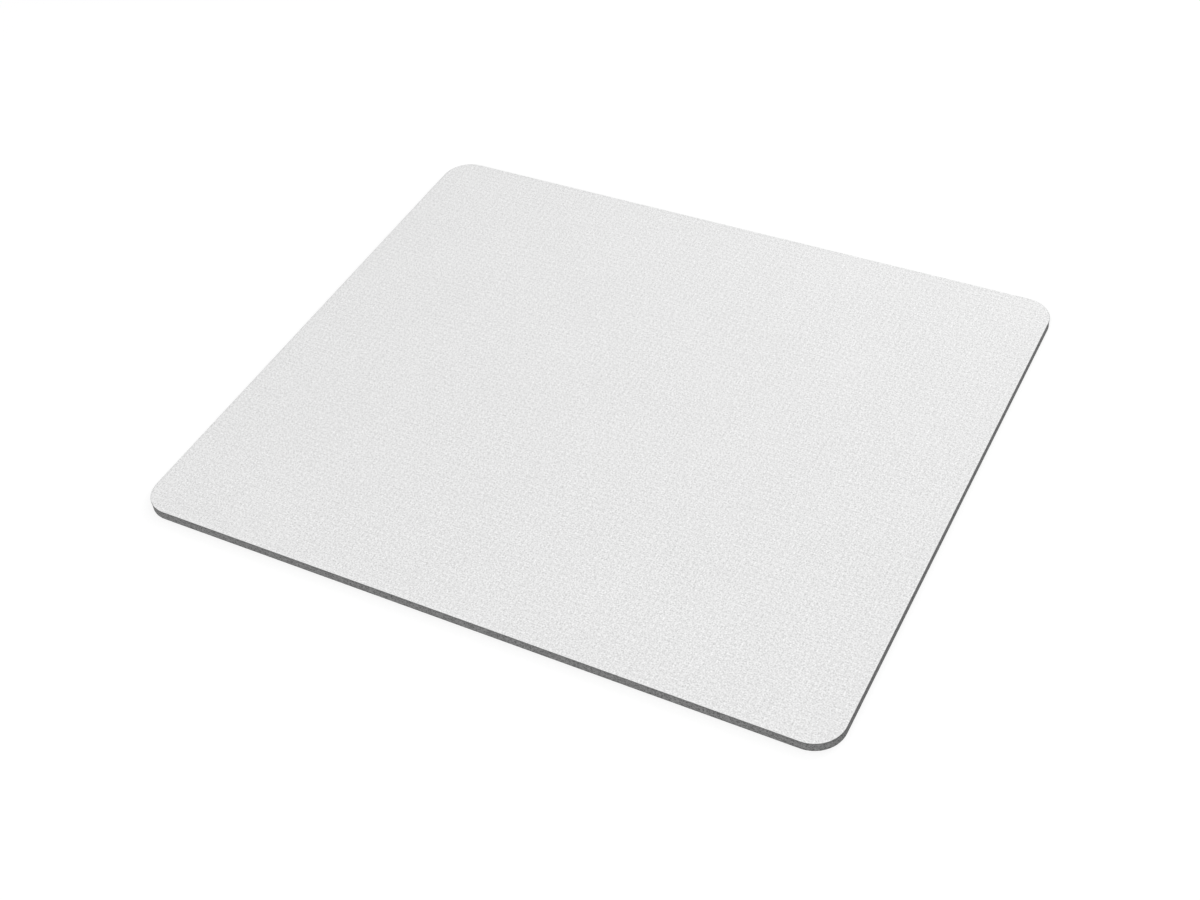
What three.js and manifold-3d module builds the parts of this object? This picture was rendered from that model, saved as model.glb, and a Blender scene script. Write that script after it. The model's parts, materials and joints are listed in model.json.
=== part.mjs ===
// A mouse pad: a sheet of foamed rubber with a woven cloth laminated to its top, cut out with rounded
// corners by a single die. Millimetres, +Z up. The origin is the middle of the face it rests on.
import * as THREE from "three";
import { mergeGeometries, mergeVertices } from "three/addons/utils/BufferGeometryUtils.js";
import Module from "manifold-3d";

// The outline that the die cuts through all three layers
const PAD_WIDTH = 235;
const PAD_DEPTH = 199.5;
const CORNER_RADIUS = 9.75;
const CORNER_STEPS = 16;

// The foamed rubber sheet
const RUBBER_THICKNESS = 2.85;

// Its underside, pressed into zigzag ribs by rows of V grooves that run from side to side. A row is one
// pitch from the next, each stroke of its zigzag crosses one pitch, and the flat ribs between the grooves
// grip the desk.
const RIB_PITCH = 4.1;
const STROKE_LENGTH = 7.2;
const GROOVE_WIDTH = 1.8;
const GROOVE_DEPTH = 0.5;

// The plain border that the grooves leave along the cut edge
const PLAIN_BORDER = 2;

// How far a cutter stands out of the face that it cuts, and how far off a straight edge a point may lie
// that the cutting leaves on it and that is taken out again
const CUT_OVERRUN = 0.1;
const STRAIGHT_WITHIN = 0.001;

// The hot-melt film that bonds the cloth to the rubber
const FILM_THICKNESS = 0.1;

// The woven cloth, whose top edge the die presses round
const CLOTH_THICKNESS = 0.25;
const CLOTH_EDGE_RADIUS = 0.15;
const CLOTH_EDGE_STEPS = 3;

const rubberFinish = new THREE.MeshStandardMaterial({ color: 0x777777, roughness: 0.9, metalness: 0 });
const filmFinish = new THREE.MeshStandardMaterial({ color: 0x747474, roughness: 0.6, metalness: 0 });
const clothFinish = new THREE.MeshStandardMaterial({ color: 0xe7e7e7, roughness: 0.95, metalness: 0 });

const wasm = await Module();
wasm.setup();

// Triangles, each three points anticlockwise from outside, as one closed geometry
function closedSkin(triangles) {
  return mergeVertices(new THREE.BufferGeometry().setFromPoints(triangles.flat()));
}

// The triangles between two rings of as many points, the second above the first
function band(lower, upper) {
  return lower.flatMap((corner, i) => {
    const next = (i + 1) % lower.length;
    return [
      [corner, lower[next], upper[next]],
      [corner, upper[next], upper[i]],
    ];
  });
}

// The triangles of a tube through a stack of rings, open at both ends
function tube(rings) {
  return rings.slice(1).flatMap((upper, level) => band(rings[level], upper));
}

// The die's outline drawn in by inset, at height z, anticlockwise from the right
function outlineRing(inset, z) {
  const x = PAD_WIDTH / 2 - inset;
  const y = PAD_DEPTH / 2 - inset;
  const radius = CORNER_RADIUS - inset;
  const arcCentres = [
    [x - radius, y - radius],
    [radius - x, y - radius],
    [radius - x, radius - y],
    [x - radius, radius - y],
  ];
  return arcCentres.flatMap(([centreX, centreY], quarter) =>
    Array.from({ length: CORNER_STEPS + 1 }, (_, step) => {
      const angle = (quarter + step / CORNER_STEPS) * (Math.PI / 2);
      return new THREE.Vector3(centreX + radius * Math.cos(angle), centreY + radius * Math.sin(angle), z);
    }),
  );
}

// A sheet with the die's outline, through a profile of [inset, z] pairs from its underside to its top
function sheet(profile) {
  const rings = profile.map(([inset, z]) => outlineRing(inset, z));
  const underside = rings.at(0);
  const top = rings.at(-1);
  const topCorners = THREE.ShapeUtils.triangulateShape(top, []);
  return closedSkin([
    ...topCorners.map(([a, b, c]) => [underside[a], underside[c], underside[b]]),
    ...tube(rings),
    ...topCorners.map(([a, b, c]) => [top[a], top[b], top[c]]),
  ]);
}

// A corner of a row's zigzag, counted from the middle, at height z
function zigzagCorner(row, count, z) {
  const side = count % 2 === 0 ? 1 : -1;
  return new THREE.Vector3(count * STROKE_LENGTH, (row + side / 2) * RIB_PITCH, z);
}

// Whether a groove that passes a point keeps off the plain border
function clearsBorder(point) {
  const radius = Math.max(CORNER_RADIUS - PLAIN_BORDER, 0);
  const pastX = Math.abs(point.x) + PLAIN_BORDER + radius - PAD_WIDTH / 2;
  const pastY = Math.abs(point.y) + GROOVE_WIDTH / 2 + PLAIN_BORDER + radius - PAD_DEPTH / 2;
  return Math.hypot(Math.max(pastX, 0), Math.max(pastY, 0)) <= radius;
}

// How many strokes a row's zigzag has on each side of the middle
function strokesEachWay(row) {
  let strokes = 0;
  const fits = (count) => clearsBorder(zigzagCorner(row, count, 0));
  while (fits(strokes) && fits(strokes + 1)) strokes += 1;
  return strokes;
}

// The V of a groove's cutter at a corner of its zigzag: near side, far side and bottom
function cutterSection(row, count) {
  const halfWidth = (GROOVE_WIDTH / 2) * (1 + CUT_OVERRUN / GROOVE_DEPTH);
  const across = new THREE.Vector3(0, halfWidth, 0);
  const mouth = zigzagCorner(row, count, -CUT_OVERRUN);
  return [mouth.clone().sub(across), mouth.clone().add(across), zigzagCorner(row, count, GROOVE_DEPTH)];
}

// What cuts a row's groove: its V swept along the zigzag, run out to a tip in the last stroke at each end
function grooveCutter(row, strokes) {
  const counts = Array.from({ length: 2 * strokes - 1 }, (_, i) => i + 1 - strokes);
  const sections = counts.map((count) => cutterSection(row, count));
  const [left, right] = [-strokes, strokes].map((count) => zigzagCorner(row, count, -CUT_OVERRUN));
  const fan = (section, tip) => section.map((corner, i) => [corner, section[(i + 1) % section.length], tip]);
  return closedSkin([
    ...fan(sections.at(0).toReversed(), left),
    ...tube(sections),
    ...fan(sections.at(-1), right),
  ]);
}

// The cutters of every row that has a whole stroke each way
function grooveCutters() {
  const rowsEachWay = Math.floor(PAD_DEPTH / RIB_PITCH / 2);
  const rows = Array.from({ length: 2 * rowsEachWay + 1 }, (_, i) => i - rowsEachWay);
  return rows
    .map((row) => [row, strokesEachWay(row)])
    .filter(([, strokes]) => strokes > 0)
    .map(([row, strokes]) => grooveCutter(row, strokes));
}

// A closed geometry as a solid that can be cut
function solidOf(geometry) {
  return new wasm.Manifold(
    new wasm.Mesh({
      numProp: 3,
      vertProperties: geometry.getAttribute("position").array,
      triVerts: new Uint32Array(geometry.index.array),
    }),
  );
}

// A geometry with others cut out of it
function cut(geometry, cutters) {
  const remainder = solidOf(geometry).subtract(solidOf(mergeGeometries(cutters)));
  const mesh = remainder.asOriginal().simplify(STRAIGHT_WITHIN).getMesh();
  return new THREE.BufferGeometry()
    .setAttribute("position", new THREE.BufferAttribute(mesh.vertProperties, mesh.numProp))
    .setIndex(new THREE.BufferAttribute(mesh.triVerts, 1));
}

// The foamed rubber sheet, with its ribbed underside
function ribbedSheet() {
  const plain = sheet([
    [0, 0],
    [0, RUBBER_THICKNESS],
  ]);
  return cut(plain, grooveCutters());
}

// The bonding film, cut flush with the rubber
function filmSheet() {
  return sheet([
    [0, 0],
    [0, FILM_THICKNESS],
  ]);
}

// The cloth, whose wall turns over into its top in a quarter round
function clothSheet() {
  const radius = Math.min(CLOTH_EDGE_RADIUS, CLOTH_THICKNESS);
  const profile = radius < CLOTH_THICKNESS ? [[0, 0]] : [];
  for (let step = 0; step <= CLOTH_EDGE_STEPS; step += 1) {
    const angle = (step / CLOTH_EDGE_STEPS) * (Math.PI / 2);
    profile.push([radius * (1 - Math.cos(angle)), CLOTH_THICKNESS - radius * (1 - Math.sin(angle))]);
  }
  return sheet(profile);
}

// A bonded layer, laid with its underside at height z
function layer(name, geometry, material, z) {
  const mesh = new THREE.Mesh(geometry, material);
  mesh.name = name;
  mesh.position.z = z;
  return mesh;
}

const mousePad = new THREE.Group();
mousePad.name = "mouse_pad";
mousePad.add(
  layer("rubber_base", ribbedSheet(), rubberFinish, 0),
  layer("adhesive_film", filmSheet(), filmFinish, RUBBER_THICKNESS),
  layer("cloth_top", clothSheet(), clothFinish, RUBBER_THICKNESS + FILM_THICKNESS),
);

export default mousePad;
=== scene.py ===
"""The looks of a mouse pad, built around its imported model.

One die cuts the pad out of a laminate of three layers: a woven cloth, the film that bonds it, and a
sheet of foamed rubber whose underside is pressed into zigzag ribs. Lengths are in metres, with X along
the longer edge, Z up out of the cloth, and the origin in the middle of the face that the pad rests on.
"""

import json
import logging
import math
from dataclasses import dataclass, field, replace
from enum import Enum
from typing import Any, Callable, Iterable, Optional, Union

import bmesh
import bpy
from mathutils import Matrix, Vector, noise

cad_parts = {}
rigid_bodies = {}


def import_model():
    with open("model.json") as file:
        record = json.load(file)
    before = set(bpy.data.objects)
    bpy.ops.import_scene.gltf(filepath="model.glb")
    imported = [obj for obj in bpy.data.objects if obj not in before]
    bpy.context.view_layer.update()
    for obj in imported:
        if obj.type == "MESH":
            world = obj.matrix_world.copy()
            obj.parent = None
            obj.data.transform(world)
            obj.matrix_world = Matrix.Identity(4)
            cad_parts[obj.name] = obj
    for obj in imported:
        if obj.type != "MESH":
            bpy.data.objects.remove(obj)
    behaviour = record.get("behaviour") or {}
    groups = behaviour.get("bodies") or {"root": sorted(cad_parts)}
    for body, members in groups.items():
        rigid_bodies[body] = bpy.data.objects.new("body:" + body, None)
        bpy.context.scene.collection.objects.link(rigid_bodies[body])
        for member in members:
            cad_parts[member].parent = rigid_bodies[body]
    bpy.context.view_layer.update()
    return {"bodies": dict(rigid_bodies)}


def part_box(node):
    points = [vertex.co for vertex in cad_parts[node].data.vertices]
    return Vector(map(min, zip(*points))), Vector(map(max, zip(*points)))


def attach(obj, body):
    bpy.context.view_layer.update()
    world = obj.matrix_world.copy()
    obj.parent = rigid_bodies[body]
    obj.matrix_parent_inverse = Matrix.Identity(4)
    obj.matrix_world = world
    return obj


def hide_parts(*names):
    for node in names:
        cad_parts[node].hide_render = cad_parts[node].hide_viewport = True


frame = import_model()

log = logging.getLogger("mouse_pad")

# The body that every layer rides on. Nothing on the pad moves.
PAD_BODY = next(iter(frame["bodies"]))

# Points closer than this are the same point, and a height within it is the same height
SAME_PLACE = 1e-6

# How strong each finer octave of a noise is, against the one before
OCTAVE_STRENGTH = 0.6


# Shader maths

Number = Union["Signal", float]


def plain(grey: float) -> tuple[float, float, float, float]:
    """Returns a grey as a colour."""
    return (grey, grey, grey, 1.0)


class Signal:
    """A shader socket that Python's operators work on, each by adding a Math node."""

    def __init__(self, painter: "Painter", socket: bpy.types.NodeSocket) -> None:
        """Wraps an output socket of one of the painter's nodes."""
        self.painter = painter
        self.socket = socket

    def __add__(self, other: Number) -> "Signal":
        """Returns self + other."""
        return self.painter.maths("ADD", self, other)

    def __sub__(self, other: Number) -> "Signal":
        """Returns self - other."""
        return self.painter.maths("SUBTRACT", self, other)

    def __rsub__(self, other: float) -> "Signal":
        """Returns other - self."""
        return self.painter.maths("SUBTRACT", other, self)

    def __mul__(self, other: Number) -> "Signal":
        """Returns self * other."""
        return self.painter.maths("MULTIPLY", self, other)

    def __truediv__(self, other: Number) -> "Signal":
        """Returns self / other."""
        return self.painter.maths("DIVIDE", self, other)

    __radd__ = __add__
    __rmul__ = __mul__


class Painter:
    """Adds nodes to the node tree of one material or world."""

    def __init__(self, tree: bpy.types.NodeTree) -> None:
        """Takes the tree over and empties it."""
        self.tree = tree
        tree.nodes.clear()

    def node(
        self,
        kind: str,
        settings: Optional[dict[str, Any]] = None,
        inputs: Optional[dict[Union[str, int], Any]] = None,
        output: Union[str, int] = 0,
    ) -> Signal:
        """Adds one node.

        Args:
            kind: The node's type.
            settings: Its settings by name, which are set before its sockets.
            inputs: Its sockets by name or number, each with a Signal to link or a value to hold.
            output: The name or number of the output that is wanted.

        Returns:
            That output.
        """
        made = self.tree.nodes.new(kind)
        for name, value in (settings or {}).items():
            setattr(made, name, value)
        for name, value in (inputs or {}).items():
            if isinstance(value, Signal):
                self.tree.links.new(value.socket, made.inputs[name])
            else:
                made.inputs[name].default_value = value
        return Signal(self, made.outputs[output])

    def output(self, kind: str, surface: Signal) -> None:
        """Adds the output node that shows a surface shader."""
        made = self.tree.nodes.new(kind)
        self.tree.links.new(surface.socket, made.inputs["Surface"])

    def maths(self, operation: str, *operands: Number) -> Signal:
        """Adds a Math node."""
        return self.node("ShaderNodeMath", {"operation": operation}, dict(enumerate(operands)))

    def place(self) -> Signal:
        """Returns the place on the pad, in the frame's metres."""
        return self.node("ShaderNodeTexCoord", output="Object")

    def split(self, vector: Signal) -> list[Signal]:
        """Returns a vector's x, y and z."""
        return [self.node("ShaderNodeSeparateXYZ", None, {0: vector}, axis) for axis in "XYZ"]

    def join(self, x: Number, y: Number, z: Number) -> Signal:
        """Returns a vector made of x, y and z."""
        return self.node("ShaderNodeCombineXYZ", None, {0: x, 1: y, 2: z})

    def cloudy(self, place: Signal, size: float, octaves: float = 0.0, spread: str = "3D") -> Signal:
        """Adds smooth noise.

        Args:
            place: Where it is read.
            size: How far apart its lumps are, in metres.
            octaves: How many finer noises are added to it.
            spread: Whether it varies in space, as "3D", or only over X and Y, as "2D".

        Returns:
            A value about zero, seldom past a half either way.
        """
        settings = {"noise_dimensions": spread}
        inputs = {"Vector": place, "Scale": 1 / size, "Detail": octaves, "Roughness": OCTAVE_STRENGTH}
        return self.node("ShaderNodeTexNoise", settings, inputs, "Fac") - 0.5

    def cells(self, x: Signal, y: Signal) -> Signal:
        """Returns a random value about zero for each whole number of x and y, from -0.5 to 0.5."""
        corner = self.join(self.maths("FLOOR", x), self.maths("FLOOR", y), 0.0)
        return self.node("ShaderNodeTexWhiteNoise", {"noise_dimensions": "2D"}, {"Vector": corner}) - 0.5

    def step(self, value: Signal, start: float, end: float) -> Signal:
        """Returns a smooth step from 0 where the value is start to 1 where it is end."""
        inputs = {"Value": value, "From Min": start, "From Max": end}
        return self.node("ShaderNodeMapRange", {"interpolation_type": "SMOOTHSTEP"}, inputs)

    def bump(self, height: Signal) -> Signal:
        """Returns the normal of a surface with this height on it, in metres."""
        return self.node("ShaderNodeBump", None, {"Strength": 1.0, "Distance": 1.0, "Height": height})


# Finishes of the pad

@dataclass(frozen=True)
class Finish:
    """A grey, matt finish. Each kind paints what varies over it.

    Attributes:
        name: The material's name.
        grey: How much light it reflects, from 0 to 1.
        roughness: The mean roughness.
        specular: The strength of the reflection of light off its outer surface, where 0.5 is a plastic's.
        roughness_spread: How far the roughness varies.
    """

    name: str
    grey: float
    roughness: float
    specular: float = 0.5
    roughness_spread: float = 0.1

    def material(self) -> bpy.types.Material:
        """Builds the material.

        Returns:
            The material.
        """
        material = bpy.data.materials.new(self.name)
        material.use_nodes = True
        painter = Painter(material.node_tree)
        tone, height, roughness = self.paint(painter)
        surface = painter.node(
            "ShaderNodeBsdfPrincipled",
            None,
            {
                "Base Color": tone * self.grey,
                "Roughness": roughness,
                "Specular IOR Level": self.specular,
                "Normal": painter.bump(height),
            },
        )
        painter.output("ShaderNodeOutputMaterial", surface)
        return material

    def paint(self, painter: Painter) -> tuple[Signal, Signal, Signal]:
        """Returns the tone as a multiple of the grey, the height in metres, and the roughness."""
        raise NotImplementedError


@dataclass(frozen=True)
class WovenFace(Finish):
    """White plain-woven polyester, whose yarns pass over and under each other.

    Attributes:
        warp_pitch: From one yarn along Y to the next.
        weft_pitch: From one yarn along X to the next.
        yarn_round: How high the middle of a yarn stands over its sides.
        yarn_crimp: How far a yarn rises and dips on its way over and under the others.
        mean_level: The face's mean height, as a share of the height of the yarns' crowns.
        painted_gap_shade: How much darker the gaps are than the crowns, as painted shade between the
            yarns.
        crossing_spread: How far apart the tones of the crossings lie.
        fibre_size: How far apart the fibres of a yarn are.
        fibre_length: How many times longer than wide the streak of a fibre is.
        fibre_shade: How strongly the fibres show.
        fibre_rise: How high they stand, as a share of how round the yarn is.
        repeat_x: How far apart the weave's coarse repeats are along X.
        repeat_y: How far apart they are along Y.
        repeat_shade: How strongly each of the two repeats shows.
        fleck_size: How far apart the flecks are where fibres lie loose in a yarn.
        fleck_shade: How strongly they show.
        cloud_size: The size of the cloth's soft clouds.
        cloud_shade: How strongly they show.
    """

    warp_pitch: float = 0.000341
    weft_pitch: float = 0.000352
    yarn_round: float = 0.000009
    yarn_crimp: float = 0.000006
    mean_level: float = 0.643
    painted_gap_shade: float = 0.25
    crossing_spread: float = 0.15
    fibre_size: float = 0.00005
    fibre_length: float = 6.0
    fibre_shade: float = 0.2
    fibre_rise: float = 0.25
    repeat_x: float = 0.002045
    repeat_y: float = 0.002112
    repeat_shade: float = 0.0176
    fleck_size: float = 0.0005
    fleck_shade: float = 0.43
    cloud_size: float = 0.03
    cloud_shade: float = 0.02

    def paint(self, painter: Painter) -> tuple[Signal, Signal, Signal]:
        """Paints yarns with painted shade in the gaps between them, fibres, coarse repeats, flecks and
        clouds.

        Args:
            painter: The painter of the material.

        Returns:
            The tone as a multiple of the grey, the height in metres, and the roughness.
        """
        place = painter.place()
        x, y, _ = painter.split(place)
        across = painter.maths("SINE", x * (math.pi / self.warp_pitch))
        along = painter.maths("SINE", y * (math.pi / self.weft_pitch))
        warp = self._yarn(painter, across, along)
        weft = self._yarn(painter, along, 0 - across)
        height = painter.maths("MAXIMUM", warp, weft)
        warp_shows = painter.maths("GREATER_THAN", warp, weft)
        along_warp = self._fibres(painter, x, y / self.fibre_length)
        along_weft = self._fibres(painter, x / self.fibre_length, y)
        fibres = along_weft + warp_shows * (along_warp - along_weft)
        level = height / (self.yarn_round + self.yarn_crimp)
        repeats = painter.maths("SINE", x * (math.tau / self.repeat_x)) + painter.maths(
            "SINE", y * (math.tau / self.repeat_y)
        )
        # The gaps between the yarns are darkened as painted shade.
        tone = (
            1
            + self.painted_gap_shade * (level - self.mean_level)
            + self.crossing_spread * painter.cells(x / self.warp_pitch, y / self.weft_pitch)
            + self.fibre_shade * fibres
            + self.repeat_shade * repeats
            + self.fleck_shade * painter.cloudy(place, self.fleck_size, spread="2D")
            + self.cloud_shade * painter.cloudy(place, self.cloud_size)
        )
        fibre_height = self.fibre_rise * self.yarn_round
        return tone, height + fibre_height * fibres, self.roughness + self.roughness_spread * fibres

    def _yarn(self, painter: Painter, profile: Signal, wave: Signal) -> Signal:
        """Works out the height of the yarns of one direction.

        Args:
            painter: The painter of the material.
            profile: A sine over the face whose half waves are the yarns, side by side.
            wave: A sine along the yarns, whose half waves are the crossings.

        Returns:
            The height in metres, as if there were no yarns of the other direction.
        """
        side = painter.maths("SIGN", profile)
        rounding = self.yarn_round * painter.maths("ABSOLUTE", profile)
        return rounding + self.yarn_crimp * wave * side

    def _fibres(self, painter: Painter, x: Signal, y: Signal) -> Signal:
        """Returns the streaks of fibres, drawn out as x and y are drawn in."""
        return painter.cloudy(painter.join(x, y, 0.0), self.fibre_size, spread="2D")


@dataclass(frozen=True)
class CutYarns(Finish):
    """The cut edge of the cloth, where the die presses the yarn ends into the dark foam below them.

    Attributes:
        yarn_pitch: From one cut yarn end to the next.
        spread: How far apart the tones of the yarn ends lie.
        fray: How far the ends stand out.
        face_tone: The tone of the cloth's face, which the rim turns into, as a multiple of this grey.
        bare_lean: The upright part of the normal where the rim begins to turn into the face.
        face_lean: The upright part of the normal where it has done so.
        raggedness: How unevenly the rim turns into the face, in the same measure.
    """

    yarn_pitch: float = 0.000341
    spread: float = 0.5
    fray: float = 0.00002
    face_tone: float = 4.2
    bare_lean: float = 0.84
    face_lean: float = 0.96
    raggedness: float = 0.25

    def paint(self, painter: Painter) -> tuple[Signal, Signal, Signal]:
        """Paints the yarn ends and the rim above them.

        Args:
            painter: The painter of the material.

        Returns:
            The tone as a multiple of the grey, the height in metres, and the roughness.
        """
        ends = painter.cloudy(painter.place(), self.yarn_pitch, 1.0)
        lean = painter.split(painter.node("ShaderNodeNewGeometry", output="Normal"))[2]
        turned = painter.step(lean + self.raggedness * ends, self.bare_lean, self.face_lean)
        tone = 1 + self.spread * ends + (self.face_tone - 1) * turned
        return tone, self.fray * ends, self.roughness + self.roughness_spread * ends


@dataclass(frozen=True)
class FilmEdge(Finish):
    """Hot-melt film, smooth and a little glossy, with soft ripples where it set.

    Attributes:
        ripple_size: How far apart the ripples are.
        ripple_rise: How high they are.
        spread: How far apart its tones lie.
    """

    ripple_size: float = 0.0006
    ripple_rise: float = 0.00001
    spread: float = 0.2

    def paint(self, painter: Painter) -> tuple[Signal, Signal, Signal]:
        """Paints the ripples.

        Args:
            painter: The painter of the material.

        Returns:
            The tone as a multiple of the grey, the height in metres, and the roughness.
        """
        ripples = painter.cloudy(painter.place(), self.ripple_size, 1.0)
        roughness = self.roughness + self.roughness_spread * ripples
        return 1 + self.spread * ripples, self.ripple_rise * ripples, roughness


@dataclass(frozen=True)
class CutFoam(Finish):
    """Foamed rubber where the die has cut it: pores between thin walls, and a few large bubbles.

    Attributes:
        pore_pitch: From one pore to the next.
        bubble_pitch: From one bubble to the next.
        hollow_share: How far a pore or bubble reaches, as a share of its pitch.
        mean_solid: How much of the face lies between them.
        painted_pore_shade: How much darker a pore is, as painted shade in its hollow.
        painted_bubble_shade: How much darker a bubble is, as painted shade in its hollow.
        hollow_depth: How deep they are, as a share of their pitch.
        crumb_size: The size of the torn crumbs of the cut.
        crumb_spread: How far apart their tones lie.
        wall_height: The height of the wall, which stands on the desk.
        edge_shade_reach: How far from the wall's top and foot its painted shade reaches.
        painted_edge_shade: How much darker the wall is painted there, as painted shade where it meets the
            film above and the desk below.
    """

    pore_pitch: float = 0.0002
    bubble_pitch: float = 0.0006
    hollow_share: float = 0.4
    mean_solid: float = 0.85
    painted_pore_shade: float = 0.5
    painted_bubble_shade: float = 0.5
    hollow_depth: float = 0.2
    crumb_size: float = 0.0008
    crumb_spread: float = 0.9
    wall_height: float = 0.00285
    edge_shade_reach: float = 0.0006
    painted_edge_shade: float = 0.12

    def paint(self, painter: Painter) -> tuple[Signal, Signal, Signal]:
        """Paints pores and bubbles, crumbs, and painted shade in the hollows and at the wall's top and
        foot.

        Args:
            painter: The painter of the material.

        Returns:
            The tone as a multiple of the grey, the height in metres, and the roughness.
        """
        place = painter.place()
        pores = self._solid(painter, place, self.pore_pitch)
        bubbles = self._solid(painter, place, self.bubble_pitch)
        crumbs = painter.cloudy(place, self.crumb_size, 2.0)
        # Painted shade: the wall is darker towards its top and foot, where the film sits on it and where
        # it stands on the desk.
        half_height = self.wall_height / 2
        off_middle = painter.maths("ABSOLUTE", painter.split(place)[2] - half_height)
        pressed = painter.step(off_middle, half_height - self.edge_shade_reach, half_height)
        # The pores and bubbles are darkened as painted shade in their hollows.
        tone = (
            1
            + self.painted_pore_shade * (pores - self.mean_solid)
            + self.painted_bubble_shade * (bubbles - self.mean_solid)
            + self.crumb_spread * crumbs
            - self.painted_edge_shade * pressed
        )
        pore_depth = self.hollow_depth * self.pore_pitch
        bubble_depth = self.hollow_depth * self.bubble_pitch
        height = pore_depth * pores + bubble_depth * bubbles
        return tone, height, self.roughness + self.roughness_spread * crumbs

    def _solid(self, painter: Painter, place: Signal, pitch: float) -> Signal:
        """Tells what is hollow from what is solid.

        Args:
            painter: The painter of the material.
            place: Where it is read.
            pitch: How far apart the hollows lie.

        Returns:
            0 in the middle of a hollow and 1 between the hollows.
        """
        inputs = {"Vector": place, "Scale": 1 / pitch}
        away = painter.node("ShaderNodeTexVoronoi", {"feature": "F1"}, inputs)
        return painter.step(away, self.hollow_share / 2, self.hollow_share)


@dataclass(frozen=True)
class MouldedSkin(Finish):
    """The rubber's closed underside skin, with the fine grain of the mould.

    Attributes:
        grain_size: The size of the mould's grain.
        grain_rise: How high the grain stands.
        grain_shade: How strongly its tones show.
        bloom_size: The size of the pale clouds that such rubber has.
        bloom_shade: How strongly they show.
        rubbed_height: Up to which height a rib is rubbed by the desk.
        rubbed_shade: How much paler it is there.
        rubbed_roughness: How much rougher it is there.
    """

    grain_size: float = 0.00025
    grain_rise: float = 0.00007
    grain_shade: float = 0.6
    bloom_size: float = 0.018
    bloom_shade: float = 0.4
    rubbed_height: float = 0.00012
    rubbed_shade: float = 0.08
    rubbed_roughness: float = 0.12

    def paint(self, painter: Painter) -> tuple[Signal, Signal, Signal]:
        """Paints grain, bloom and rubbed ribs.

        Args:
            painter: The painter of the material.

        Returns:
            The tone as a multiple of the grey, the height in metres, and the roughness.
        """
        place = painter.place()
        height = painter.split(place)[2]
        grain = painter.cloudy(place, self.grain_size, 1.0)
        bloom = painter.cloudy(place, self.bloom_size, 2.0)
        rubbed = painter.step(height, self.rubbed_height, 0.0)
        tone = 1 + self.grain_shade * grain + self.bloom_shade * bloom + self.rubbed_shade * rubbed
        roughness = self.roughness + self.rubbed_roughness * rubbed + self.roughness_spread * bloom
        return tone, self.grain_rise * grain, roughness


WOVEN_FACE = WovenFace("woven_face", grey=0.8, roughness=0.95, specular=0.25)
CUT_YARNS = CutYarns("cut_yarns", grey=0.18, roughness=0.95, specular=0.0)
FILM_EDGE = FilmEdge("film_edge", grey=0.16, roughness=0.7, specular=0.1, roughness_spread=0.2)
CUT_FOAM = CutFoam("cut_foam", grey=0.204, roughness=0.95, specular=0.0)
MOULDED_SKIN = MouldedSkin("moulded_skin", grey=0.17, roughness=0.68)


# Shapes that the layers share

class Level(Enum):
    """Which of a layer's flat faces is meant."""

    UNDERSIDE = -1
    TOP = 1


@dataclass
class Die:
    """The cutting die: a rectangle with rounded corners.

    Attributes:
        half_width: Half the pad's width, along X.
        half_depth: Half the pad's depth, along Y.
        corner_radius: The radius of its corners.
        corner_segments: How many straight pieces a corner is made of.
    """

    half_width: float
    half_depth: float
    corner_radius: float = 0.00975
    corner_segments: int = 16

    def drawn_in(self, inset: float) -> "Die":
        """Returns the outline that lies inset inside this one."""
        drawn = (self.half_width - inset, self.half_depth - inset, self.corner_radius - inset)
        return Die(*drawn, self.corner_segments)

    def encloses(self, point: Vector) -> bool:
        """Tells whether a point lies inside the outline, seen from above.

        Args:
            point: The point.

        Returns:
            True if it does.
        """
        past_x = max(abs(point.x) - self.half_width + self.corner_radius, 0.0)
        past_y = max(abs(point.y) - self.half_depth + self.corner_radius, 0.0)
        return math.hypot(past_x, past_y) <= self.corner_radius

    def face(self, height: float) -> bmesh.types.BMesh:
        """Makes the outline as one flat face.

        Args:
            height: Its height.

        Returns:
            A mesh of that face alone.
        """
        bm = bmesh.new()
        bmesh.ops.create_grid(bm, x_segments=1, y_segments=1, size=1.0)
        bmesh.ops.scale(bm, vec=(self.half_width, self.half_depth, 1.0), verts=bm.verts)
        bmesh.ops.translate(bm, vec=(0.0, 0.0, height), verts=bm.verts)
        bmesh.ops.bevel(
            bm,
            geom=bm.verts[:],
            offset=self.corner_radius,
            offset_type="OFFSET",
            segments=self.corner_segments,
            profile=0.5,
            affect="VERTICES",
            material=-1,
        )
        return bm

    def blank(self, low: float, high: float) -> bmesh.types.BMesh:
        """Makes the closed slab that the die cuts between two heights.

        Args:
            low: The height of its underside.
            high: The height of its top.

        Returns:
            The slab.
        """
        bm = self.face(low)
        lifted = bmesh.ops.extrude_face_region(bm, geom=bm.faces[:])["geom"]
        raised = [part for part in lifted if isinstance(part, bmesh.types.BMVert)]
        bmesh.ops.translate(bm, vec=(0.0, 0.0, high - low), verts=raised)
        bmesh.ops.recalc_face_normals(bm, faces=bm.faces)
        return bm


def flat_face(bm: bmesh.types.BMesh, level: Level) -> bmesh.types.BMFace:
    """Finds the one flat face of a slab at its underside or top."""
    return max(bm.faces, key=lambda face: (face.normal.z * level.value, face.calc_area()))


def round_over(bm: bmesh.types.BMesh, level: Level, radius: float, segments: int) -> None:
    """Rounds the edges of a slab's underside or top over.

    Args:
        bm: The slab.
        level: Which of its faces has the edges.
        radius: The radius of the rounding.
        segments: How many faces the rounding is made of.
    """
    bmesh.ops.bevel(
        bm,
        geom=flat_face(bm, level).edges[:],
        offset=radius,
        offset_type="OFFSET",
        segments=segments,
        profile=0.5,
        affect="EDGES",
        material=-1,
    )


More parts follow.
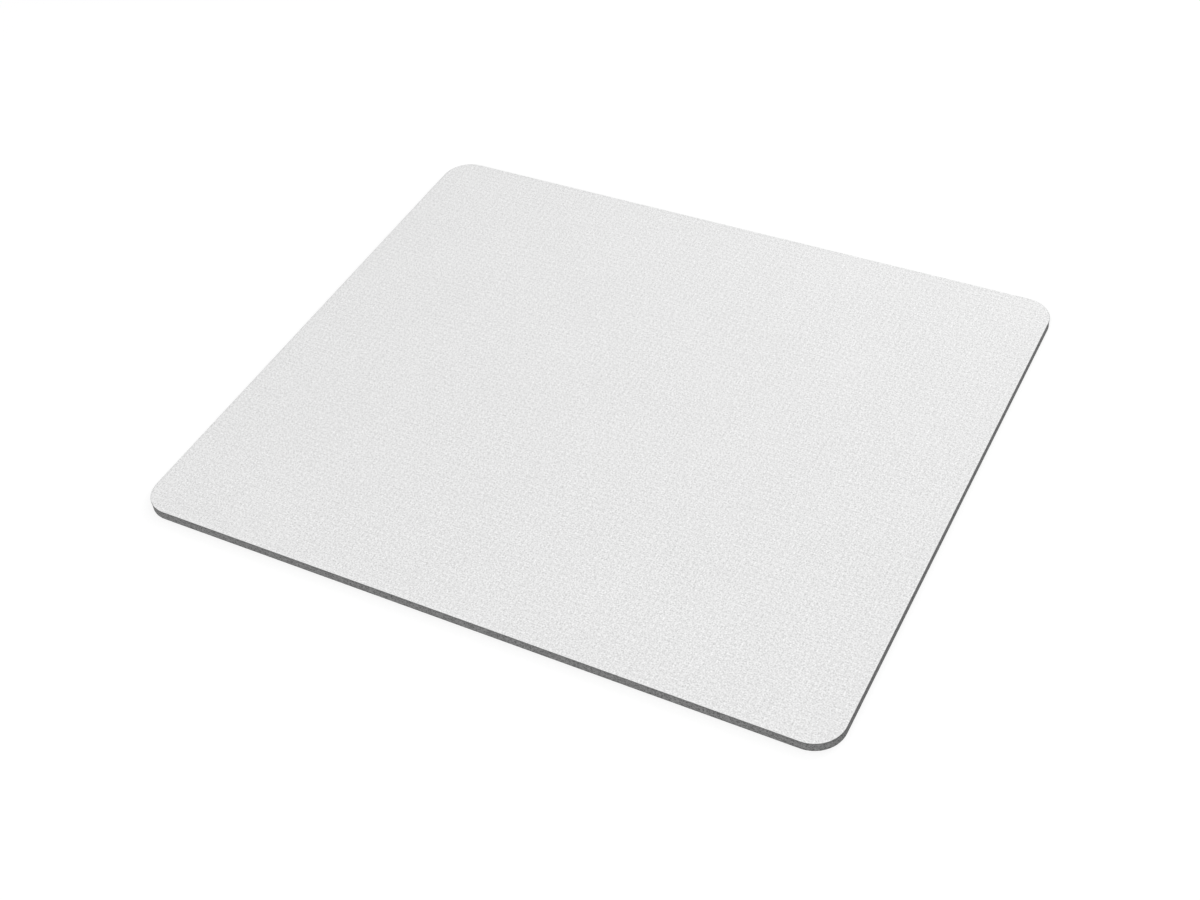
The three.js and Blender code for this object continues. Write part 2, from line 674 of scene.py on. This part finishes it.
def finished(
    bm: bmesh.types.BMesh,
    name: str,
    finishes: Iterable[Finish],
    finish_of: Callable[[bmesh.types.BMFace], int],
    crease: float,
) -> bpy.types.Object:
    """Turns a closed shape into a piece that rides on the pad.

    Args:
        bm: The shape, which is used up.
        name: The piece's name.
        finishes: The finishes that it has.
        finish_of: Which of them a face has, counted from 0.
        crease: The angle in radians past which an edge shows as a crease.

    Returns:
        The piece.
    """
    bmesh.ops.recalc_face_normals(bm, faces=bm.faces)
    open_edges = sum(not edge.is_manifold for edge in bm.edges)
    for face in bm.faces:
        face.smooth = True
        face.material_index = finish_of(face)
    mesh = bpy.data.meshes.new(name)
    bm.to_mesh(mesh)
    bm.free()
    mesh.set_sharp_from_angle(angle=crease)
    for finish in finishes:
        mesh.materials.append(finish.material())
    piece = bpy.data.objects.new(name, mesh)
    bpy.context.scene.collection.objects.link(piece)
    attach(piece, PAD_BODY)
    triangles = sum(len(polygon.vertices) - 2 for polygon in mesh.polygons)
    log.info("%s: %d triangles, %d open edges", name, triangles, open_edges)
    return piece


# The layers, from the desk up

@dataclass
class RubberBase:
    """The sheet of foamed rubber: a cut wall, and an underside pressed into zigzag ribs.

    Attributes:
        die: What cuts its outline.
        low: The height of its underside.
        high: The height of its top.
        foot_radius: The rounding where the wall meets the desk.
        foot_segments: How many faces that rounding is made of.
        wall_bow: How far the wall is drawn in at half its height, where the foam gave under the die.
        wall_cuts: How many rings the wall has between its foot and its top.
        rib_pitch: From one groove to the next, along Y.
        stroke_length: How far along X a stroke of the zigzag goes.
        groove_width: The width of a groove along Y.
        groove_depth: The depth of a groove.
        plain_border: How far the grooves keep off the cut edge.
        groove_lips: How far past its width a groove's rounded lips reach, as a multiple of its width.
        lines_per_groove: How many lines across a groove shape it.
        columns_per_stroke: How many columns shape a stroke.
        turn_sharpness: How sharp the zigzag's turns are, where 1 is a point.
        narrowest: How wide a groove still is at its tips, as a share of its width.
        skin_lean: How far the moulded skin reaches up the rounding of the foot, in radians.
        crease: Past which angle between two faces their edge shows, in radians.
    """

    die: Die
    low: float
    high: float
    foot_radius: float = 0.00004
    foot_segments: int = 3
    wall_bow: float = 0.00005
    wall_cuts: int = 5
    rib_pitch: float = 0.0041
    stroke_length: float = 0.0072
    groove_width: float = 0.0018
    groove_depth: float = 0.0005
    plain_border: float = 0.002
    groove_lips: float = 1.15
    lines_per_groove: int = 7
    columns_per_stroke: int = 6
    turn_sharpness: float = 0.96
    narrowest: float = 0.2
    skin_lean: float = math.radians(60)
    crease: float = math.radians(60)

    def build(self) -> bpy.types.Object:
        """Builds the piece.

        Returns:
            The piece, which rides on the pad.
        """
        bm = self.die.blank(self.low, self.high)
        round_over(bm, Level.UNDERSIDE, self.foot_radius, self.foot_segments)
        self._bow_wall(bm)
        self._rib_underside(bm)
        cut_foam = replace(CUT_FOAM, wall_height=self.high - self.low)
        finishes = [cut_foam, MOULDED_SKIN]
        piece = finished(bm, "ribbed_foam_rubber", finishes, self._finish_of, self.crease)
        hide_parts("rubber_base")
        return piece

    def _finish_of(self, face: bmesh.types.BMFace) -> int:
        """Returns 1 for the moulded underside and 0 for what the die cut."""
        in_grooves = face.calc_center_median().z < self.low + self.groove_depth
        return int(in_grooves and face.normal.z < -math.cos(self.skin_lean))

    def _bow_wall(self, bm: bmesh.types.BMesh) -> None:
        """Draws the wall in at half its height.

        Args:
            bm: The rubber's mesh.
        """
        foot = self.low + self.foot_radius
        upright = [
            edge for edge in bm.edges if abs(edge.verts[0].co.z - edge.verts[1].co.z) > self.foot_radius
        ]
        bmesh.ops.subdivide_edges(bm, edges=upright, cuts=self.wall_cuts, use_grid_fill=True)
        bm.normal_update()
        for vert in bm.verts:
            share = (vert.co.z - foot) / (self.high - foot)
            if SAME_PLACE < share < 1 - SAME_PLACE:
                outward = Vector((vert.normal.x, vert.normal.y, 0.0)).normalized()
                vert.co -= outward * self.wall_bow * math.sin(math.pi * share)

    def _rib_underside(self, bm: bmesh.types.BMesh) -> None:
        """Puts the ribbed field in place of the flat underside, with a plain border round it.

        Args:
            bm: The rubber's mesh.
        """
        underside = flat_face(bm, Level.UNDERSIDE)
        rim = underside.edges[:]
        bmesh.ops.delete(bm, geom=[underside], context="FACES_ONLY")
        field_verts = self._groove_field(bm)
        edge_of_field = {
            edge for vert in field_verts if vert.is_valid for edge in vert.link_edges if edge.is_boundary
        }
        bmesh.ops.triangle_fill(
            bm, use_beauty=True, edges=[*rim, *edge_of_field], normal=(0.0, 0.0, -1.0)
        )

    def _groove_field(self, bm: bmesh.types.BMesh) -> list[bmesh.types.BMVert]:
        """Adds the field of grooves and ribs, as a grid whose lines run along the zigzags.

        Args:
            bm: The rubber's mesh.

        Returns:
            The field's vertices, of which those outside the plain border are gone.
        """
        strokes = int((self.die.half_width - self.plain_border) / self.stroke_length)
        rows = int(self.die.half_depth / self.rib_pitch - 0.5)
        reach = {row: self._strokes_each_way(row) for row in range(-rows, rows + 1)}
        rows = max(row for row, count in reach.items() if count > 0)
        columns = 2 * strokes * self.columns_per_stroke
        lines = (2 * rows + 1) * self.lines_per_groove - 1
        ordinals = Matrix.Diagonal((columns, lines, 1.0, 1.0))
        grid = bmesh.ops.create_grid(bm, x_segments=columns, y_segments=lines, size=0.5, matrix=ordinals)
        for vert in grid["verts"]:
            column = round(vert.co.x)
            row, line = divmod(round(vert.co.y + lines / 2), self.lines_per_groove)
            row -= rows
            vert.co = self._field_point(column / self.columns_per_stroke, row, line, reach[row])
        limit = self.die.drawn_in(self.plain_border / 2)
        outside = [
            face
            for vert in grid["verts"]
            if not limit.encloses(vert.co)
            for face in vert.link_faces
        ]
        bmesh.ops.delete(bm, geom=list(set(outside)), context="FACES")
        return grid["verts"]

    def _strokes_each_way(self, row: int) -> int:
        """Counts a row's whole strokes on each side of the middle, inside the plain border.

        Args:
            row: The row, counted from the middle.

        Returns:
            How many there are.
        """
        limit = self.die.drawn_in(self.plain_border)
        strokes = 0
        while all(
            limit.encloses(Vector((count * self.stroke_length, self._reach_along_y(row, count), 0.0)))
            for count in (strokes, strokes + 1)
        ):
            strokes += 1
        return strokes

    def _reach_along_y(self, row: int, count: int) -> float:
        """Returns how far from the middle a groove's outer side is at a corner of its zigzag."""
        side = 0.5 if count % 2 == 0 else -0.5
        return abs(row + side) * self.rib_pitch + self.groove_width / 2

    def _field_point(self, stroke: float, row: int, line: int, strokes: int) -> Vector:
        """Places a point of the field.

        Args:
            stroke: How many strokes it lies from the middle, along X.
            row: Its row, counted from the middle.
            line: Its line across the row's groove, counted from 0.
            strokes: How many strokes the row's groove has each way.

        Returns:
            The point.
        """
        # The columns are drawn towards the zigzag's turns
        stroke -= math.sin(math.tau * stroke) / (4 * math.pi)
        swing = math.asin(self.turn_sharpness * math.cos(math.pi * stroke))
        wave = swing / math.asin(self.turn_sharpness)
        run_out = min(max(strokes - abs(stroke), 0.0), 1.0)
        across = 2 * line / (self.lines_per_groove - 1) - 1
        half_width = self.groove_width / 2 * self.groove_lips * max(run_out, self.narrowest)
        depth = self.groove_depth * run_out * (1 + math.cos(math.pi * across)) / 2
        y = (row + wave / 2) * self.rib_pitch + across * half_width
        return Vector((stroke * self.stroke_length, y, self.low + depth))


@dataclass
class BondingFilm:
    """The film between rubber and cloth, which shows as a hairline along the cut.

    Attributes:
        die: What cuts its outline.
        low: The height of its underside.
        high: The height of its top.
        set_back: How far the film drew back from the cut when it set.
        crease: Past which angle between two faces their edge shows, in radians.
    """

    die: Die
    low: float
    high: float
    set_back: float = 0.00004
    crease: float = math.radians(40)

    def build(self) -> bpy.types.Object:
        """Builds the piece.

        Returns:
            The piece, which rides on the pad.
        """
        bm = self.die.drawn_in(self.set_back).blank(self.low, self.high)
        piece = finished(bm, "bonding_film", [FILM_EDGE], lambda face: 0, self.crease)
        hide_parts("adhesive_film")
        return piece


@dataclass
class ClothTop:
    """The woven cloth, bonded down all over, whose rim the die presses round.

    Attributes:
        die: What cuts its outline.
        low: The height of its underside.
        high: The height of its top.
        rim_radius: The rounding of its top edge.
        rim_segments: How many faces that rounding is made of.
        rim_turn: How far a face leans before it shows cut yarns and not the woven face, in radians.
        grid: The spacing of its mesh, which follows the swells of the foam below.
        swell_size: How far apart these swells are.
        swell_height: How high they are.
        crease: Past which angle between two faces their edge shows, in radians.
    """

    die: Die
    low: float
    high: float
    rim_radius: float = 0.00015
    rim_segments: int = 3
    rim_turn: float = math.radians(10)
    grid: float = 0.0025
    swell_size: float = 0.045
    swell_height: float = 0.00005
    crease: float = math.radians(40)

    def build(self) -> bpy.types.Object:
        """Builds the piece.

        Returns:
            The piece, which rides on the pad.
        """
        bm = self.die.blank(self.low, self.high)
        round_over(bm, Level.TOP, self.rim_radius, self.rim_segments)
        self._cut_grid(bm, Vector((1.0, 0.0, 0.0)), self.die.half_width)
        self._cut_grid(bm, Vector((0.0, 1.0, 0.0)), self.die.half_depth)
        self._swell(bm)
        piece = finished(bm, "woven_cloth", [WOVEN_FACE, CUT_YARNS], self._finish_of, self.crease)
        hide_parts("cloth_top")
        corners_cut_off = (4 - math.pi) * self.die.corner_radius**2
        width, depth = 2 * self.die.half_width, 2 * self.die.half_depth
        area = width * depth - corners_cut_off
        return piece

    def _finish_of(self, face: bmesh.types.BMFace) -> int:
        """Returns 0 for the woven face and 1 for the cut yarns."""
        return int(face.normal.z < math.cos(self.rim_turn))

    def _cut_grid(self, bm: bmesh.types.BMesh, axis: Vector, half_length: float) -> None:
        """Cuts the mesh across at even steps.

        Args:
            bm: The cloth's mesh.
            axis: The direction of the steps.
            half_length: How far the cloth reaches that way.
        """
        steps = round(2 * half_length / self.grid)
        for step in range(1, steps):
            bmesh.ops.bisect_plane(
                bm,
                geom=[*bm.verts, *bm.edges, *bm.faces],
                dist=SAME_PLACE,
                plane_co=axis * half_length * (2 * step / steps - 1),
                plane_no=axis,
            )

    def _swell(self, bm: bmesh.types.BMesh) -> None:
        """Lets the cloth follow the soft swells of the foam below it.

        Args:
            bm: The cloth's mesh.
        """
        for vert in bm.verts:
            share = (vert.co.z - self.low) / (self.high - self.low)
            if share > SAME_PLACE:
                level = noise.noise(vert.co / self.swell_size) - 1
                vert.co.z += self.swell_height * share * level / 2


# The studio

@dataclass
class Camera:
    """The camera, where the photograph's is.

    Attributes:
        place: Where it stands.
        target: Where it looks.
        roll: How far it is turned about its line of sight, in degrees.
        focal_length: Its focal length, in millimetres.
        sensor_width: The width of its sensor, in millimetres.
        nearest: The nearest that it sees.
        farthest: The farthest that it sees.
    """

    place: Vector = field(default_factory=lambda: Vector((0.21418, -0.35665, 0.38593)))
    target: Vector = field(default_factory=lambda: Vector((0.0053125, -0.0186926, 0.0)))
    roll: float = -6.2924
    focal_length: float = 52.0345
    sensor_width: float = 36.0
    nearest: float = 0.01
    farthest: float = 100.0

    def build(self) -> None:
        """Builds the camera and makes it the scene's."""
        lens = bpy.data.cameras.new("photograph_camera")
        lens.sensor_fit = "HORIZONTAL"
        lens.sensor_width = self.sensor_width
        lens.lens = self.focal_length
        lens.clip_start = self.nearest
        lens.clip_end = self.farthest
        camera = bpy.data.objects.new("photograph_camera", lens)
        bpy.context.scene.collection.objects.link(camera)
        upright = (self.target - self.place).to_track_quat("-Z", "Y").to_matrix().to_4x4()
        turned = Matrix.Rotation(math.radians(self.roll), 4, "Z")
        camera.matrix_world = Matrix.Translation(self.place) @ upright @ turned
        bpy.context.scene.camera = camera
        log.info("camera: at %s", tuple(round(value, 4) for value in self.place))


@dataclass
class SoftLamp:
    """A softbox.

    Attributes:
        name: Its name.
        place: Where its middle is.
        size: The length of its sides.
        power: Its power, in watts.
    """

    name: str
    place: Vector
    size: float
    power: float

    def build(self) -> None:
        """Builds the lamp, turned to the middle of the pad."""
        lamp = bpy.data.lights.new(self.name, "AREA")
        lamp.shape = "SQUARE"
        lamp.size = self.size
        lamp.energy = self.power
        softbox = bpy.data.objects.new(self.name, lamp)
        bpy.context.scene.collection.objects.link(softbox)
        softbox.location = self.place
        softbox.rotation_euler = self.place.to_track_quat("Z", "Y").to_euler()
        softbox.visible_camera = False


@dataclass
class Studio:
    """The room: even light from all round, softboxes, and a white floor.

    Attributes:
        room_light: How bright the room is to what stands in it, where 1 is white.
        lamps: The softboxes.
        floor_radius: How far the floor reaches.
        floor_sides: How many sides its rim has.
        floor_drop: How far below the pad it lies, so that the two don't coincide.
        floor_overlap: How far the floor reaches in under the pad.
        floor_grey: How much light the floor reflects onto the pad.
        shadow_grey: How much of its look comes from the light on it, and so shows shadows.
        near_glow: The rest of its look beside the pad, which makes it white in the lamps' light.
        far_glow: The rest of its look far off, which makes it white in the room's light alone.
        near_radius: Up to where it has the one.
        far_radius: From where it has the other.
    """

    room_light: float = 0.64
    lamps: list[SoftLamp] = field(
        default_factory=lambda: [
            SoftLamp("back_softbox", Vector((0.19, 0.44, 0.31)), 0.3, 0.73),
            SoftLamp("front_softbox", Vector((0.24, -1.37, 1.2)), 0.7, 13.0),
            SoftLamp("under_softbox", Vector((-0.5, -0.7, -0.3)), 0.3, 4.5),
        ]
    )
    floor_radius: float = 6.0
    floor_sides: int = 64
    floor_drop: float = 0.00001
    floor_overlap: float = 0.00006
    floor_grey: float = 0.8
    shadow_grey: float = 0.45
    near_glow: float = 0.605
    far_glow: float = 0.715
    near_radius: float = 0.3
    far_radius: float = 1.2

    def build(self, die: Die) -> None:
        """Builds the room round the pad.

        Args:
            die: The die that cut the pad.
        """
        self._build_world()
        for lamp in self.lamps:
            lamp.build()
            log.info("%s: %g W", lamp.name, lamp.power)
        self._build_floor(die)

    def _seen(self, painter: Painter) -> Signal:
        """Tells what the camera sees, also in a gloss or through something, from what only gives light.

        Args:
            painter: The painter of a material or world.

        Returns:
            1 for what it sees and 0 for the rest.
        """
        rays = [
            painter.node("ShaderNodeLightPath", output=ray)
            for ray in ("Is Camera Ray", "Is Glossy Ray", "Is Transmission Ray")
        ]
        return painter.maths("MAXIMUM", painter.maths("MAXIMUM", rays[0], rays[1]), rays[2])

    def _build_world(self) -> None:
        """Makes the room's light, with plain white behind everything."""
        world = bpy.data.worlds.new("studio_room")
        bpy.context.scene.world = world
        world.use_nodes = True
        painter = Painter(world.node_tree)
        strength = self.room_light + (1 - self.room_light) * self._seen(painter)
        room = painter.node("ShaderNodeBackground", None, {"Color": plain(1.0), "Strength": strength})
        painter.output("ShaderNodeOutputWorld", room)

    def _build_floor(self, die: Die) -> None:
        """Makes the floor, open under the pad so that its underside gets the room's light.

        Args:
            die: The die that cut the pad.
        """
        bm = die.drawn_in(self.floor_overlap).face(-self.floor_drop)
        bmesh.ops.delete(bm, geom=bm.faces[:], context="FACES_ONLY")
        bmesh.ops.create_circle(
            bm,
            segments=self.floor_sides,
            radius=self.floor_radius,
            matrix=Matrix.Translation((0.0, 0.0, -self.floor_drop)),
        )
        bmesh.ops.triangle_fill(bm, use_beauty=True, edges=bm.edges[:], normal=(0.0, 0.0, 1.0))
        mesh = bpy.data.meshes.new("studio_floor")
        bm.to_mesh(mesh)
        bm.free()
        mesh.materials.append(self._floor_paint())
        floor = bpy.data.objects.new("studio_floor", mesh)
        bpy.context.scene.collection.objects.link(floor)
        log.info("floor: %d faces", len(mesh.polygons))

    def _floor_paint(self) -> bpy.types.Material:
        """Makes white paint that keeps shadows, and that isn't there when seen from below.

        Returns:
            The paint.
        """
        material = bpy.data.materials.new("studio_floor_paint")
        material.use_nodes = True
        painter = Painter(material.node_tree)
        inputs = {0: painter.place()}
        away = painter.node("ShaderNodeVectorMath", {"operation": "LENGTH"}, inputs, "Value")
        far = painter.step(away, self.near_radius, self.far_radius)
        glow = self.near_glow + (self.far_glow - self.near_glow) * far
        lit = painter.node("ShaderNodeBsdfDiffuse", None, {"Color": plain(self.floor_grey)})
        shaded = painter.node("ShaderNodeBsdfDiffuse", None, {"Color": plain(self.shadow_grey)})
        glowing = painter.node("ShaderNodeEmission", None, {"Color": glow})
        looks = painter.node("ShaderNodeAddShader", None, {0: shaded, 1: glowing})
        painted = painter.node("ShaderNodeMixShader", None, {0: self._seen(painter), 1: lit, 2: looks})
        below = painter.node("ShaderNodeNewGeometry", output="Backfacing")
        clear = painter.node("ShaderNodeBsdfTransparent")
        surface = painter.node("ShaderNodeMixShader", None, {0: below, 1: painted, 2: clear})
        painter.output("ShaderNodeOutputMaterial", surface)
        return material


def main() -> None:
    """Builds the studio and the pad's layers, from the desk up."""
    logging.basicConfig(level=logging.INFO, format="%(name)s: %(message)s")
    bpy.context.scene.view_settings.view_transform = "Standard"
    rubber_low, rubber_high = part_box("rubber_base")
    film_low, film_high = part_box("adhesive_film")
    cloth_low, cloth_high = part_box("cloth_top")
    die = Die(rubber_high.x, rubber_high.y)
    Camera().build()
    Studio().build(die)
    RubberBase(die, rubber_low.z, rubber_high.z).build()
    BondingFilm(die, film_low.z, film_high.z).build()
    ClothTop(die, cloth_low.z, cloth_high.z).build()


if __name__ == "__main__":
    main()
